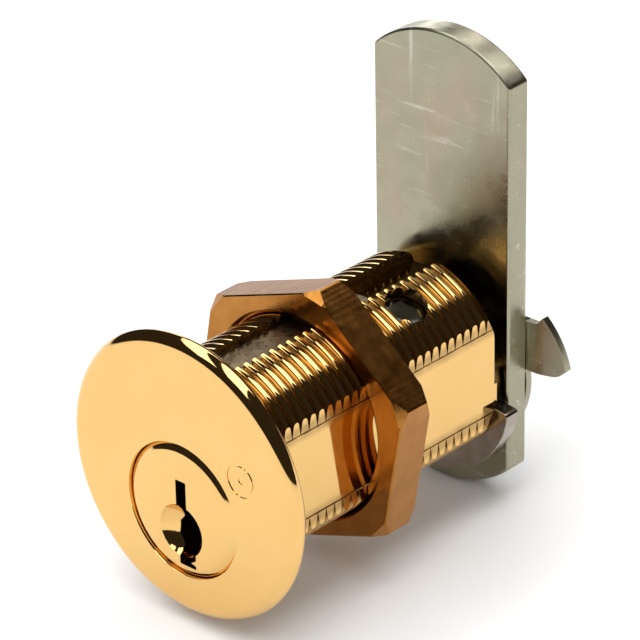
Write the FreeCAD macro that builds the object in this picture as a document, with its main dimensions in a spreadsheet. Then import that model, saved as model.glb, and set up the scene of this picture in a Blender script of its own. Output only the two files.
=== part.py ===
import FreeCAD, Part
import Sketcher
import math
import os

# Pin tumbler cam lock. Millimetres, +Z up, the key goes in along +Y.
# Origin: where the barrel's axis meets the back of the head, which is the face that rests on the panel.
# The plug turns about an axis parallel to Y, plug_offset below the barrel's.

SIZES = {
    # barrel: head, thread, flats, channel
    "head_thick": 1.6,
    "head_radius": 13.4,
    "face_radius": 12.28,
    "rim_depth": 0.85,
    "rim_curve": 1.3,
    "back_radius": 12.85,
    "back_curve": 0.9,
    "thread_radius": 9.525,
    "thread_pitch": 1.0583,
    "thread_depth": 0.74,
    "thread_root_flat": 0.06,
    "thread_crest_flat": 0.3,
    "thread_start": 1.2,
    "barrel_length": 30.75,
    "rear_radius": 8.5,
    "neck_length": 2.9,
    "flat_distance": 7.7,
    "channel_width": 3.7,
    "channel_floor": 7.9,
    "channel_start": 0.15,
    "cover_thick": 0.55,
    "cover_start": 2.2,
    "cover_end": 21.8,
    # plug and its bore
    "plug_offset": 3.08,
    "plug_radius": 5.1,
    "plug_running": 0.04,
    "collar_radius": 6.35,
    "collar_end": -0.4,
    "bore_break": 0.15,
    "face_proud": 0.1,
    "face_chamfer": 0.7,
    "face_chamfer_depth": 0.45,
    "plug_end": 30.8,
    "tail_radius": 4.0,
    "tail_flat": 3.1,
    "tail_length": 4.15,
    "tail_fit": 0.03,
    "groove_radius": 4.5,
    "groove_width": 3.3,
    # keyway, from the plug's axis
    "key_slot_half": 0.6,
    "key_slot_top": 2.95,
    "key_slot_foot": -5.3,
    "key_depth": 24.6,
    "dimple_sphere": 3.2,
    "dimple_sink": 2.0,
    "dimple_x": -0.1,
    "dimple_z": -2.0,
    # pin stacks
    "pin_first": 3.7,
    "pin_spacing": 3.81,
    "pin_radius": 1.44,
    "chamber_radius": 1.48,
    "chamber_foot": 0.0,
    "key_pin_top": 4.9,
    "driver_foot": 5.12,
    "driver_length": 2.8,
    "spring_radius": 1.05,
    "spring_wire": 0.14,
    "spring_pitch": 0.62,
    # mounting nut
    "nut_front": 13.0,
    "nut_thick": 3.95,
    "nut_flats": 22.8,
    "nut_turn": -19.8,
    "nut_bore": 9.58,
    "nut_sink": 10.05,
    "nut_face_radius": 12.33,
    "nut_chamfer_depth": 0.75,
    # retaining pin, its hole and the wider hole for its head
    "keeper_y": 23.1,
    "keeper_angle": 70.7,
    "keeper_radius": 1.5,
    "keeper_hole": 1.55,
    "keeper_tip": 4.6,
    "keeper_top": 11.5,
    "keeper_head_radius": 1.95,
    "keeper_head": 1.2,
    "keeper_sink_radius": 2.0,
    "keeper_sink": 10.25,
    # stop washer, its notch and the lug that stands in it
    "stop_thick": 1.63,
    "stop_radius": 9.3,
    "notch_radius": 6.3,
    "notch_start": -7.0,
    "notch_end": 104.6,
    "lug_inside": 6.5,
    "lug_outside": 7.6,
    "lug_low": -0.75,
    "lug_high": 1.65,
    "lug_length": 0.6,
    # cam
    "cam_width": 15.8,
    "cam_thick": 2.6,
    "cam_foot_radius": 11.2,
    "cam_tip": 33.26,
    "cam_tip_radius": 11.45,
    "cam_edge": 0.18,
    # tab washer
    "tab_thick": 0.75,
    "tab_radius": 7.95,
    "tab_hole": 2.2,
    "fan_radius": 12.0,
    "fan_fold": 9.2,
    "fan_bend": 18.0,
    "fan_foot": 1.4,
    "fan_root_top": 6.4,
    "fan_tip_x": 9.6,
    "fan_corner": 0.8,
    # cam screw
    "cam_screw_radius": 2.05,
    "cam_screw_hole": 2.1,
    "cam_screw_length": 8.0,
    "cam_screw_flats": 8.0,
    "cam_screw_head": 3.0,
}

# Key pins differ in length, which is what makes one key fit one lock.
KEY_PIN_LENGTHS = [3.6, 4.2, 3.2, 4.4, 3.8]
for number, pin_length in enumerate(KEY_PIN_LENGTHS, 1):
    SIZES[f"key_pin_{number}"] = pin_length

V = FreeCAD.Vector
FRONT_PLANE, TOP_PLANE, SIDE_PLANE = "XZ_Plane", "XY_Plane", "YZ_Plane"
LARGE = 60.0

doc = FreeCAD.newDocument("CamLock")
sheet = doc.addObject("Spreadsheet::Sheet", "Sizes")
for row, (alias, size) in enumerate(SIZES.items(), 1):
    sheet.set(f"A{row}", alias)
    sheet.set(f"B{row}", str(size))
    sheet.setAlias(f"B{row}", alias)
doc.recompute()

nodes = []


# ---------- helpers ----------

def cell(formula):
    """A formula in size names, written for the expression engine: $name is the cell of that name."""
    return str(formula).replace("$", "Sizes.")


def bind(thing, field, formula):
    thing.setExpression(field, cell(formula))


def new_body(name, x="0", y="0", z="0"):
    """A sub-part's body, labelled as its file and placed at (x, y, z)."""
    body = doc.addObject("PartDesign::Body", name)
    body.Label = name
    for axis, formula in zip("xyz", (x, y, z)):
        bind(body, f".Placement.Base.{axis}", formula)
    nodes.append(body)
    return body


def new_sketch(body, role, offset="0"):
    """A sketch on the body's own plane of that role, moved along the plane's normal."""
    sketch = body.newObject("Sketcher::SketchObject", "Sketch")
    plane = next(o for o in body.Origin.OriginFeatures if o.Role == role)
    sketch.AttachmentSupport = [(plane, "")]
    sketch.MapMode = "FlatFace"
    bind(sketch, ".AttachmentOffset.Base.z", offset)
    return sketch


def value_of(sketch, formula):
    return float(sketch.evalExpression(cell(formula)))


def place_of(sketch, point):
    """Where a pair of formulas is in the sketch."""
    x, y = point
    return V(value_of(sketch, x), value_of(sketch, y), 0)


def pin_point(sketch, geometry, end, x, y):
    """Fixes one point of the sketch at formulas x and y."""
    for kind, axis, formula in (("DistanceX", -2, x), ("DistanceY", -1, y)):
        if str(formula) == "0":
            sketch.addConstraint(Sketcher.Constraint("PointOnObject", geometry, end, axis))
            continue
        distance = value_of(sketch, formula)
        index = sketch.addConstraint(Sketcher.Constraint(kind, -1, 1, geometry, end, distance))
        bind(sketch, f"Constraints[{index}]", formula)


def fix_radius(sketch, geometry, formula):
    radius = value_of(sketch, formula)
    index = sketch.addConstraint(Sketcher.Constraint("Radius", geometry, radius))
    bind(sketch, f"Constraints[{index}]", formula)


def arc_between(a, b, radius):
    """The short arc from a to b; a positive radius curves to the right of the way from a to b."""
    chord = b - a
    middle = (a + b) * 0.5
    across = V(chord.y, -chord.x, 0).normalize()
    rise = math.sqrt(max(radius * radius - chord.Length ** 2 / 4, 0.0))
    side = 1 if radius > 0 else -1
    centre = middle - across * (side * rise)
    top = centre + across * (side * abs(radius))
    return Part.Arc(a, top, b)


def outline(sketch, points, arcs=None):
    """A closed outline through pairs of formulas; arcs maps an edge's number to its signed radius."""
    arcs = arcs or {}
    places = [place_of(sketch, point) for point in points]
    first = sketch.GeometryCount
    count = len(points)
    for i, place in enumerate(places):
        following = places[(i + 1) % count]
        if i in arcs:
            sketch.addGeometry(arc_between(place, following, value_of(sketch, arcs[i])))
        else:
            sketch.addGeometry(Part.LineSegment(place, following))
    starts = [touching_end(sketch, first + i, places[i]) for i in range(count)]
    for i in range(count):
        following = (i + 1) % count
        near_end = 3 - starts[i]
        sketch.addConstraint(
            Sketcher.Constraint("Coincident", first + i, near_end, first + following, starts[following])
        )
        pin_point(sketch, first + i, starts[i], *points[i])
        if i in arcs:
            fix_radius(sketch, first + i, f"abs({arcs[i]})")
    return sketch


def touching_end(sketch, geometry, place):
    """Which end of the edge, 1 or 2, is at the place: an arc may be stored the other way round."""
    return 1 if sketch.getPoint(geometry, 1).distanceToPoint(place) < 1e-6 else 2


def circle(sketch, radius, x="0", y="0"):
    ring = Part.Circle(place_of(sketch, (x, y)), V(0, 0, 1), value_of(sketch, radius))
    index = sketch.addGeometry(ring)
    pin_point(sketch, index, 3, x, y)
    fix_radius(sketch, index, radius)
    return sketch


def box_outline(sketch, x_low, y_low, x_high, y_high):
    return outline(sketch, [(x_low, y_low), (x_high, y_low), (x_high, y_high), (x_low, y_high)])


def hexagon(sketch, across_flats):
    """A hexagon with corners on the sketch's x axis."""
    corners = [(f"({across_flats}) / sqrt(3) * cos({60 * i})", f"({across_flats}) / 2 * {side}")
               for i, side in enumerate((0, 1, 1, 0, -1, -1))]
    return outline(sketch, [(x, "0" if i in (0, 3) else y) for i, (x, y) in enumerate(corners)])


def axis_line(sketch, start, end):
    """A construction line to turn a profile about."""
    places = [place_of(sketch, point) for point in (start, end)]
    index = sketch.addGeometry(Part.LineSegment(*places), True)
    pin_point(sketch, index, 1, *start)
    pin_point(sketch, index, 2, *end)


def solid_volume(body):
    return body.Shape.Volume if not body.Shape.isNull() else 0.0


def feature(body, kind, sketch, removes=False, **settings):
    """Adds a feature to the body and checks that it added or removed material."""
    before = solid_volume(body)
    made = body.newObject(f"PartDesign::{kind}", kind)
    made.Profile = sketch
    for field, value in settings.items():
        if isinstance(value, str) and field in ("Length", "Pitch", "Height"):
            bind(made, field, value)
        else:
            setattr(made, field, value)
    doc.recompute()
    change = solid_volume(body) - before
    if (change >= 0) if removes else (change <= 0):
        raise RuntimeError(f"{body.Label}: {made.Name} changed the volume by {change:.4f}")
    return made


def pad(body, sketch, length, **settings):
    return feature(body, "Pad", sketch, Length=length, **settings)


def pocket(body, sketch, length, **settings):
    return feature(body, "Pocket", sketch, removes=True, Length=length, **settings)


def revolve(body, sketch, axis="H_Axis"):
    return feature(body, "Revolution", sketch, ReferenceAxis=(sketch, [axis]), Angle=360)


def groove(body, sketch, axis="H_Axis"):
    return feature(body, "Groove", sketch, removes=True, ReferenceAxis=(sketch, [axis]), Angle=360)


def repeat_along(body, made, sketch, direction, spacing, count):
    pattern = body.newObject("PartDesign::LinearPattern", "Row")
    pattern.Originals = [made]
    pattern.Direction = (sketch, [direction])
    pattern.Mode = "Spacing"
    bind(pattern, "Offset", spacing)
    pattern.Occurrences = count
    body.Tip = pattern
    doc.recompute()
    return pattern


def edges_where(made, test):
    """The names of the feature's edges whose bounding box passes the test."""
    return [f"Edge{i}" for i, edge in enumerate(made.Shape.Edges, 1) if test(edge)]


def dress(body, kind, made, names, size):
    dressed = body.newObject(f"PartDesign::{kind}", kind)
    dressed.Base = (made, names)
    bind(dressed, "Radius" if kind == "Fillet" else "Size", size)
    doc.recompute()
    return dressed


def tail_hole(body, thickness):
    """The hole that fits the plug's tail: a circle with two flats."""
    sketch = new_sketch(body, FRONT_PLANE)
    radius, flat = "$tail_radius + $tail_fit", "$tail_flat + $tail_fit"
    height = f"sqrt(({radius}) ^ 2 - ({flat}) ^ 2)"
    corners = [
        (flat, f"-({height})"),
        (flat, height),
        (f"-({flat})", height),
        (f"-({flat})", f"-({height})"),
    ]
    outline(sketch, corners, {1: radius, 3: radius})
    return pocket(body, sketch, f"2 * ({thickness}) + 2", Midplane=True)


# ---------- barrel ----------

def make_barrel():
    body = new_body("barrel")
    chamfer_start = "$barrel_length - ($thread_radius - $rear_radius)"
    profile = outline(new_sketch(body, SIDE_PLANE), [
        ("-$head_thick", "0"),
        ("-$head_thick", "$face_radius"),
        ("$rim_depth - $head_thick", "$head_radius"),
        ("0", "$back_radius"),
        ("0", "$thread_radius"),
        (chamfer_start, "$thread_radius"),
        ("$barrel_length", "$rear_radius"),
        ("$barrel_length", "0"),
    ], {1: "-$rim_curve", 2: "-$back_curve"})
    revolve(body, profile)

    flats = new_sketch(body, TOP_PLANE)
    for side in (1, -1):
        box_outline(flats, f"{side} * $flat_distance", "$neck_length",
                    f"{side} * ($thread_radius + 1)", "$barrel_length + 1")
    pocket(body, flats, str(LARGE), Midplane=True)

    channel = box_outline(new_sketch(body, TOP_PLANE, "$channel_floor"),
                          "-$channel_width / 2", "$channel_start",
                          "$channel_width / 2", "$barrel_length + 1")
    pocket(body, channel, "$thread_radius", Reversed=True)

    # stepped bore for the plug, with its edge broken at the face
    bore = new_sketch(body, SIDE_PLANE)
    axis_line(bore, ("-$head_thick - 1", "-$plug_offset"), ("$barrel_length + 1", "-$plug_offset"))
    collar = "$collar_radius + $plug_running - $plug_offset"
    wall = "$plug_radius + $plug_running - $plug_offset"
    outline(bore, [
        ("-$head_thick - 0.5", "-$plug_offset"),
        ("-$head_thick - 0.5", f"{collar} + $bore_break + 0.5"),
        ("-$head_thick + $bore_break", collar),
        ("$collar_end + $plug_running", collar),
        ("$collar_end + $plug_running", wall),
        ("$barrel_length + 1", wall),
        ("$barrel_length + 1", "-$plug_offset"),
    ])
    groove(body, bore, "Axis0")

    drill_chambers(body, "$channel_floor + 0.1", "0")

    # hole for the retaining pin, aimed at the plug's axis, with a wider hole for the pin's head
    aim = new_sketch(body, FRONT_PLANE, "-$keeper_y")
    far = "$keeper_top + 3"
    axis_line(aim, along_keeper("0", "0"), along_keeper(far, "0"))
    outline(aim, [
        along_keeper("4", "0"),
        along_keeper(far, "0"),
        along_keeper(far, "$keeper_sink_radius"),
        along_keeper("$keeper_sink", "$keeper_sink_radius"),
        along_keeper("$keeper_sink", "$keeper_hole"),
        along_keeper("4", "$keeper_hole"),
    ])
    groove(body, aim, "Axis0")

    # the lug that the ends of the stop washer's notch turn against
    lug = box_outline(new_sketch(body, FRONT_PLANE, "-$barrel_length + 0.5"),
                      "$lug_inside", "$lug_low - $plug_offset", "$lug_outside", "$lug_high - $plug_offset")
    pad(body, lug, "$lug_length + 0.5", Reversed=True)

    # the thread: one groove wound from the neck to past the rear end
    half_mouth = "($thread_pitch - $thread_crest_flat) / 2"
    over = 0.08
    mouth = f"({half_mouth}) * (1 + {over} / $thread_depth)"
    tooth = outline(new_sketch(body, SIDE_PLANE), [
        (f"$thread_start - ({mouth})", f"$thread_radius + {over}"),
        ("$thread_start - $thread_root_flat / 2", "$thread_radius - $thread_depth"),
        ("$thread_start + $thread_root_flat / 2", "$thread_radius - $thread_depth"),
        (f"$thread_start + ({mouth})", f"$thread_radius + {over}"),
    ])
    feature(body, "SubtractiveHelix", tooth, removes=True, ReferenceAxis=(tooth, ["H_Axis"]), Mode=0,
            Pitch="$thread_pitch", Height="$barrel_length - $thread_start", Angle=0)


def along_keeper(distance, side):
    """A point in the front plane: a distance out along the pin from the plug's axis, and to its side."""
    return (f"({distance}) * cos($keeper_angle) + ({side}) * sin($keeper_angle)",
            f"({distance}) * sin($keeper_angle) - ({side}) * cos($keeper_angle) - $plug_offset")


def make_chamber_cover():
    body = new_body("chamber_cover", y="$cover_start", z="$channel_floor")
    half, end = "$channel_width / 2 - 0.02", "$cover_end - $cover_start"
    strip = outline(new_sketch(body, TOP_PLANE), [
        (f"-({half})", "0.6"),
        (f"0.6 - ({half})", "0"),
        (f"({half}) - 0.6", "0"),
        (half, "0.6"),
        (half, f"{end} - 0.6"),
        (f"({half}) - 0.6", end),
        (f"0.6 - ({half})", end),
        (f"-({half})", f"{end} - 0.6"),
    ])
    pad(body, strip, "$cover_thick")


def drill_chambers(body, top, foot):
    """The row of pin chambers, drilled down from one height to another."""
    chamber = circle(new_sketch(body, TOP_PLANE, top), "$chamber_radius", "0", "$pin_first")
    hole = pocket(body, chamber, f"({top}) - ({foot})")
    repeat_along(body, hole, chamber, "V_Axis", "$pin_spacing", len(KEY_PIN_LENGTHS))


# ---------- plug and what turns with it ----------

def make_plug():
    body = new_body("plug", z="-$plug_offset")
    face = "-$head_thick - $face_proud"
    groove_low, groove_high = "$keeper_y - $groove_width / 2", "$keeper_y + $groove_width / 2"
    profile = outline(new_sketch(body, SIDE_PLANE), [
        (face, "0"),
        (face, "$collar_radius - $face_chamfer"),
        (f"{face} + $face_chamfer_depth", "$collar_radius"),
        ("$collar_end", "$collar_radius"),
        ("$collar_end", "$plug_radius"),
        (groove_low, "$plug_radius"),
        (groove_low, "$groove_radius"),
        (groove_high, "$groove_radius"),
        (groove_high, "$plug_radius"),
        ("$plug_end", "$plug_radius"),
        ("$plug_end", "$tail_radius"),
        ("$plug_end + $tail_length - 0.3", "$tail_radius"),
        ("$plug_end + $tail_length", "$tail_radius - 0.3"),
        ("$plug_end + $tail_length", "0"),
    ])
    revolve(body, profile)

    # the keyway: a straight slot above, stepped aside below, with a ward in its lower right wall
    half = "$key_slot_half"
    keyway = outline(new_sketch(body, FRONT_PLANE, "$head_thick + $face_proud + 0.5"), [
        (f"-{half}", "$key_slot_top"),
        (f"-{half}", "-1.1"),
        ("-1.15", "-1.75"),
        ("-1.15", "-2.9"),
        ("-0.35", "-3.7"),
        ("-0.35", "$key_slot_foot"),
        ("1.55", "$key_slot_foot"),
        ("1.55", "-4.95"),
        ("0.95", "-4.8"),
        ("1.55", "-4.45"),
        ("1.55", "-2.2"),
        (half, "-1.3"),
        (half, "$key_slot_top"),
    ])
    pocket(body, keyway, "$key_depth + 0.5")

    # a round dimple that guides the key's tip in
    dimple = new_sketch(body, SIDE_PLANE, "$dimple_x")
    centre = f"{face} - $dimple_sink"
    axis_line(dimple, (f"{centre} - 4", "$dimple_z"), (f"{centre} + 4", "$dimple_z"))
    outline(dimple, [
        (f"{centre} - $dimple_sphere", "$dimple_z"),
        (centre, "$dimple_z + $dimple_sphere"),
        (f"{centre} + $dimple_sphere", "$dimple_z"),
    ], {0: "-$dimple_sphere", 1: "-$dimple_sphere"})
    groove(body, dimple, "Axis0")

    drill_chambers(body, "$plug_radius + 1", "$chamber_foot")

    tail = new_sketch(body, FRONT_PLANE, "-$plug_end")
    for side in (1, -1):
        box_outline(tail, f"{side} * $tail_flat", "-$tail_radius - 1",
                    f"{side} * ($tail_radius + 1)", "$tail_radius + 1")
    pocket(body, tail, "$tail_length + 1")

    tapping = new_sketch(body, SIDE_PLANE)
    end = "$plug_end + $tail_length"
    outline(tapping, [
        (f"{end} + 0.1", "0"),
        (f"{end} + 0.1", "$cam_screw_hole + 0.5"),
        (f"{end} - 0.4", "$cam_screw_hole"),
        (f"{end} - $cam_screw_length", "$cam_screw_hole"),
        (f"{end} - $cam_screw_length - 1.2", "0"),
    ])
    groove(body, tapping)


def make_stop_washer():
    body = new_body("stop_washer", y="$plug_end", z="-$plug_offset")
    pad(body, circle(new_sketch(body, FRONT_PLANE), "$stop_radius"), "$stop_thick", Reversed=True)

    # the notch lets the lug pass a quarter of a turn and no further
    outer, middle = "$stop_radius + 2", "($notch_start + $notch_end) / 2"
    points = [
        polar("$notch_radius", "$notch_start"),
        polar(outer, "$notch_start"),
        polar(outer, middle),
        polar(outer, "$notch_end"),
        polar("$notch_radius", "$notch_end"),
        polar("$notch_radius", middle),
    ]
    notch = outline(new_sketch(body, FRONT_PLANE), points,
                    {1: outer, 2: outer, 4: "-$notch_radius", 5: "-$notch_radius"})
    pocket(body, notch, "2 * $stop_thick + 2", Midplane=True)
    tail_hole(body, "$stop_thick")


def polar(radius, angle):
    return f"({radius}) * cos({angle})", f"({radius}) * sin({angle})"


def make_cam():
    body = new_body("cam", y="$plug_end + $stop_thick", z="-$plug_offset")
    half = "$cam_width / 2"
    foot = f"-sqrt($cam_foot_radius ^ 2 - ({half}) ^ 2)"
    shoulder = f"$cam_tip - $cam_tip_radius + sqrt($cam_tip_radius ^ 2 - ({half}) ^ 2)"
    blade = outline(new_sketch(body, FRONT_PLANE), [
        (f"-{half}", foot),
        (half, foot),
        (half, shoulder),
        (f"-{half}", shoulder),
    ], {0: "$cam_foot_radius", 2: "$cam_tip_radius"})
    made = pad(body, blade, "$cam_thick", Reversed=True)
    rims = edges_where(made, lambda edge: edge.BoundBox.YLength < 0.01)
    dress(body, "Fillet", made, rims, "$cam_edge")
    tail_hole(body, "$cam_thick")


def make_tab_washer():
    body = new_body("tab_washer", y="$plug_end + $stop_thick + $cam_thick", z="-$plug_offset")

    # a strip bent back at the fold, then cut to a fan, then the disc
    reach = "($fan_radius + 1 - $fan_fold)"
    slope, rise = "cos($fan_bend)", "sin($fan_bend)"
    lean = "$tab_thick * tan($fan_bend / 2)"
    strip = outline(new_sketch(body, TOP_PLANE, "$fan_foot - 1"), [
        ("4.5", "0"),
        ("$fan_fold", "0"),
        (f"$fan_fold + {reach} * {slope}", f"{reach} * {rise}"),
        (f"$fan_fold + {reach} * {slope} - $tab_thick * {rise}",
         f"{reach} * {rise} + $tab_thick * {slope}"),
        (f"$fan_fold - {lean}", "$tab_thick"),
        ("4.5", "$tab_thick"),
    ])
    pad(body, strip, "$fan_radius")

    tip_height = "sqrt($fan_radius ^ 2 - $fan_tip_x ^ 2)"
    end_height = "$fan_foot + $fan_corner"
    cut = new_sketch(body, FRONT_PLANE)
    box_outline(cut, "-1", "-2", "$fan_radius + 4", "$fan_radius + 4")
    outline(cut, [
        ("0.5", "$fan_foot"),
        (f"sqrt($fan_radius ^ 2 - ({end_height}) ^ 2) - $fan_corner", "$fan_foot"),
        (f"sqrt($fan_radius ^ 2 - ({end_height}) ^ 2)", end_height),
        ("$fan_tip_x", tip_height),
        (f"$fan_tip_x - 0.8 * (({tip_height}) - $fan_root_top)", "$fan_root_top"),
        ("0.5", "$fan_root_top"),
    ], {1: "$fan_corner", 2: "$fan_radius"})
    pocket(body, cut, str(LARGE), Midplane=True)

    pad(body, circle(new_sketch(body, FRONT_PLANE), "$tab_radius"), "$tab_thick", Reversed=True)
    hole = circle(new_sketch(body, FRONT_PLANE), "$tab_hole")
    pocket(body, hole, str(LARGE), Midplane=True)


def make_cam_screw():
    body = new_body("cam_screw", y="$plug_end + $stop_thick + $cam_thick + $tab_thick",
                    z="-$plug_offset")
    head = hexagon(new_sketch(body, FRONT_PLANE), "$cam_screw_flats")
    pad(body, head, "$cam_screw_head", Reversed=True)
    corner = "$cam_screw_flats / sqrt(3) + 0.5"
    edge = outline(new_sketch(body, SIDE_PLANE), [
        ("$cam_screw_head + 0.1", "$cam_screw_flats / 2 - 0.3"),
        ("$cam_screw_head - 0.7", corner),
        ("$cam_screw_head + 0.1", corner),
    ])
    groove(body, edge)
    shank = outline(new_sketch(body, SIDE_PLANE), [
        ("0.5", "0"),
        ("0.5", "$cam_screw_radius"),
        ("0.5 - $cam_screw_length", "$cam_screw_radius"),
        ("-$cam_screw_length", "$cam_screw_radius - 0.5"),
        ("-$cam_screw_length", "0"),
    ])
    revolve(body, shank)


# ---------- pin stacks ----------

def make_key_pin(number):
    size = f"$key_pin_{number}"
    body = new_body(f"key_pin_{number}", y=f"$pin_first + {number - 1} * $pin_spacing",
                    z="$key_pin_top - $plug_offset")
    profile = outline(new_sketch(body, FRONT_PLANE), [
        ("0", f"-{size}"),
        ("0.45", f"-{size}"),
        ("$pin_radius", f"0.9 - {size}"),
        ("$pin_radius", "-0.25"),
        ("$pin_radius - 0.25", "0"),
        ("0", "0"),
    ])
    revolve(body, profile, "V_Axis")


def make_driver_pin(number):
    body = new_body(f"driver_pin_{number}", y=f"$pin_first + {number - 1} * $pin_spacing",
                    z="$driver_foot - $plug_offset")
    profile = outline(new_sketch(body, FRONT_PLANE), [
        ("0", "0"),
        ("$pin_radius - 0.15", "0"),
        ("$pin_radius", "0.15"),
        ("$pin_radius", "$driver_length - 0.25"),
        ("$pin_radius - 0.25", "$driver_length"),
        ("0", "$driver_length"),
    ])
    revolve(body, profile, "V_Axis")


def make_pin_spring(number):
    seat = "$driver_foot + $driver_length - $plug_offset"
    body = new_body(f"pin_spring_{number}", y=f"$pin_first + {number - 1} * $pin_spacing", z=seat)
    wire = circle(new_sketch(body, FRONT_PLANE), "$spring_wire", "$spring_radius", "$spring_wire")
    feature(body, "AdditiveHelix", wire, ReferenceAxis=(wire, ["V_Axis"]), Mode=0, Pitch="$spring_pitch",
            Height=f"$channel_floor - ({seat}) - 2 * $spring_wire", Angle=0)


# ---------- fasteners ----------

def make_mounting_nut():
    body = new_body("mounting_nut", y="$nut_front")
    bind(body, ".Placement.Rotation.Axis.y", "1")
    bind(body, ".Placement.Rotation.Axis.z", "0")
    bind(body, ".Placement.Rotation.Angle", "$nut_turn")
    pad(body, hexagon(new_sketch(body, FRONT_PLANE), "$nut_flats"), "$nut_thick", Reversed=True)

    # chamfered corners on both faces, the bore and its two countersinks
    corner, beyond = "$nut_flats / sqrt(3)", 0.6
    slope = f"$nut_chamfer_depth / ({corner} - $nut_face_radius)"
    depth = f"({corner} + {beyond} - $nut_face_radius) * {slope}"
    cuts = new_sketch(body, SIDE_PLANE)
    for at, side in (("0", 1), ("$nut_thick", -1)):
        outline(cuts, [
            (f"{at} - {side} * 0.1", "$nut_face_radius"),
            (at, "$nut_face_radius"),
            (f"{at} + {side} * {depth}", f"{corner} + {beyond}"),
            (f"{at} - {side} * 0.1", f"{corner} + {beyond}"),
        ])
    groove(body, cuts)
    bore = outline(new_sketch(body, SIDE_PLANE), [
        ("-0.1", "0"),
        ("-0.1", "$nut_sink + 0.1"),
        ("$nut_sink - $nut_bore", "$nut_bore"),
        ("$nut_thick - $nut_sink + $nut_bore", "$nut_bore"),
        ("$nut_thick + 0.1", "$nut_sink + 0.1"),
        ("$nut_thick + 0.1", "0"),
    ])
    groove(body, bore)

    half_mouth = "$thread_pitch / 2 - 0.05"
    tooth = outline(new_sketch(body, SIDE_PLANE), [
        (f"-({half_mouth})", "$nut_bore - 0.05"),
        ("-0.05", "$nut_bore + 0.6"),
        ("0.05", "$nut_bore + 0.6"),
        (half_mouth, "$nut_bore - 0.05"),
    ])
    feature(body, "SubtractiveHelix", tooth, removes=True, ReferenceAxis=(tooth, ["H_Axis"]), Mode=0,
            Pitch="$thread_pitch", Height="$nut_thick", Angle=0)


def make_retaining_pin():
    body = new_body("retaining_pin")
    bind(body, ".Placement.Base.x", "$keeper_tip * cos($keeper_angle)")
    bind(body, ".Placement.Base.y", "$keeper_y")
    bind(body, ".Placement.Base.z", "$keeper_tip * sin($keeper_angle) - $plug_offset")
    bind(body, ".Placement.Rotation.Axis.y", "1")
    bind(body, ".Placement.Rotation.Axis.z", "0")
    bind(body, ".Placement.Rotation.Angle", "90 - $keeper_angle")
    length = "$keeper_top - $keeper_tip"
    profile = outline(new_sketch(body, FRONT_PLANE), [
        ("0", "0"),
        ("$keeper_radius - 0.4", "0"),
        ("$keeper_radius - 0.4", "0.9"),
        ("$keeper_radius", "1.3"),
        ("$keeper_radius", f"{length} - $keeper_head"),
        ("$keeper_head_radius", f"{length} - $keeper_head"),
        ("$keeper_head_radius", f"{length} - 0.25"),
        ("$keeper_head_radius - 0.5", length),
        ("0", length),
    ])
    revolve(body, profile, "V_Axis")


# ---------- build, check, write ----------

make_barrel()
make_chamber_cover()
make_plug()
make_stop_washer()
make_cam()
make_tab_washer()
make_cam_screw()
for stack in range(1, len(KEY_PIN_LENGTHS) + 1):
    make_key_pin(stack)
    make_driver_pin(stack)
    make_pin_spring(stack)
make_mounting_nut()
make_retaining_pin()

doc.recompute()
for thing in doc.Objects:
    if "Invalid" in thing.State or "Error" in thing.State:
        raise RuntimeError(f"{thing.Name} is {thing.State}")
for node in nodes:
    if node.Shape.isNull() or not node.Shape.isValid() or len(node.Shape.Solids) != 1:
        raise RuntimeError(f"{node.Label} is not one valid solid")

os.makedirs("parts", exist_ok=True)
for node in nodes:
    node.Shape.exportStep(os.path.join("parts", f"{node.Label}.step"))
    print(f"{node.Label}: {node.Shape.Volume:.2f} mm3")
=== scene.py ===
import math

import bmesh
import bpy
from mathutils import Matrix, Vector

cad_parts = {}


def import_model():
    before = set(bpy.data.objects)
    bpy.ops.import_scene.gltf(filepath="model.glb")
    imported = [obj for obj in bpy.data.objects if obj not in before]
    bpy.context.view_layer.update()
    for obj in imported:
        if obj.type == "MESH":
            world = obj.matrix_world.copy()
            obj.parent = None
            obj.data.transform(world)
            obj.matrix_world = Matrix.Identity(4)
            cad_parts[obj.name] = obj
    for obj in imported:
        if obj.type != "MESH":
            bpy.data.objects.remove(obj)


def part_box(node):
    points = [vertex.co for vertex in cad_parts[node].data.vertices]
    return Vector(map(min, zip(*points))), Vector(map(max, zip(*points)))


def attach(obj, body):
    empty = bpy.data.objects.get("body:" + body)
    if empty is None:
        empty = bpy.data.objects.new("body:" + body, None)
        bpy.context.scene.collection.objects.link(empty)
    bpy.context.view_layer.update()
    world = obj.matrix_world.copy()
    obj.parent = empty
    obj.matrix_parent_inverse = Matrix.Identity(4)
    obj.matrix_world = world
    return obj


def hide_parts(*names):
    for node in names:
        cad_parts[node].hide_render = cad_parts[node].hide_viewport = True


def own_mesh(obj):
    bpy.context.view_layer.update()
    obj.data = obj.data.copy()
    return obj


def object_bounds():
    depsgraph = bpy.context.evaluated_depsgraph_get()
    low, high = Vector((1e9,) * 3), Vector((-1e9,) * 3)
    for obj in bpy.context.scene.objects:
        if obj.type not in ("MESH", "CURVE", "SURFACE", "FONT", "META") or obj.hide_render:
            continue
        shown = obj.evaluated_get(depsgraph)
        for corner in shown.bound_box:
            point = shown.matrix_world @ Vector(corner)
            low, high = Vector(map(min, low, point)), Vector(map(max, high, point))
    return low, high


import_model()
cad_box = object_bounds()

# Shapes are built in millimetres, in the frame's axes, and scaled to metres at the end.
MM = 0.001
ROUND = 192          # steps round the large turned pieces
FINE_ROUND = 96      # steps round pins, screws and small holes
SHARP = math.radians(35)


def span(node, axis):
    """Lowest and highest place of a CAD node along an axis, in millimetres."""
    low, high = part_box(node)
    return low[axis] / MM, high[axis] / MM


# ---------- sizes ----------

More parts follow.
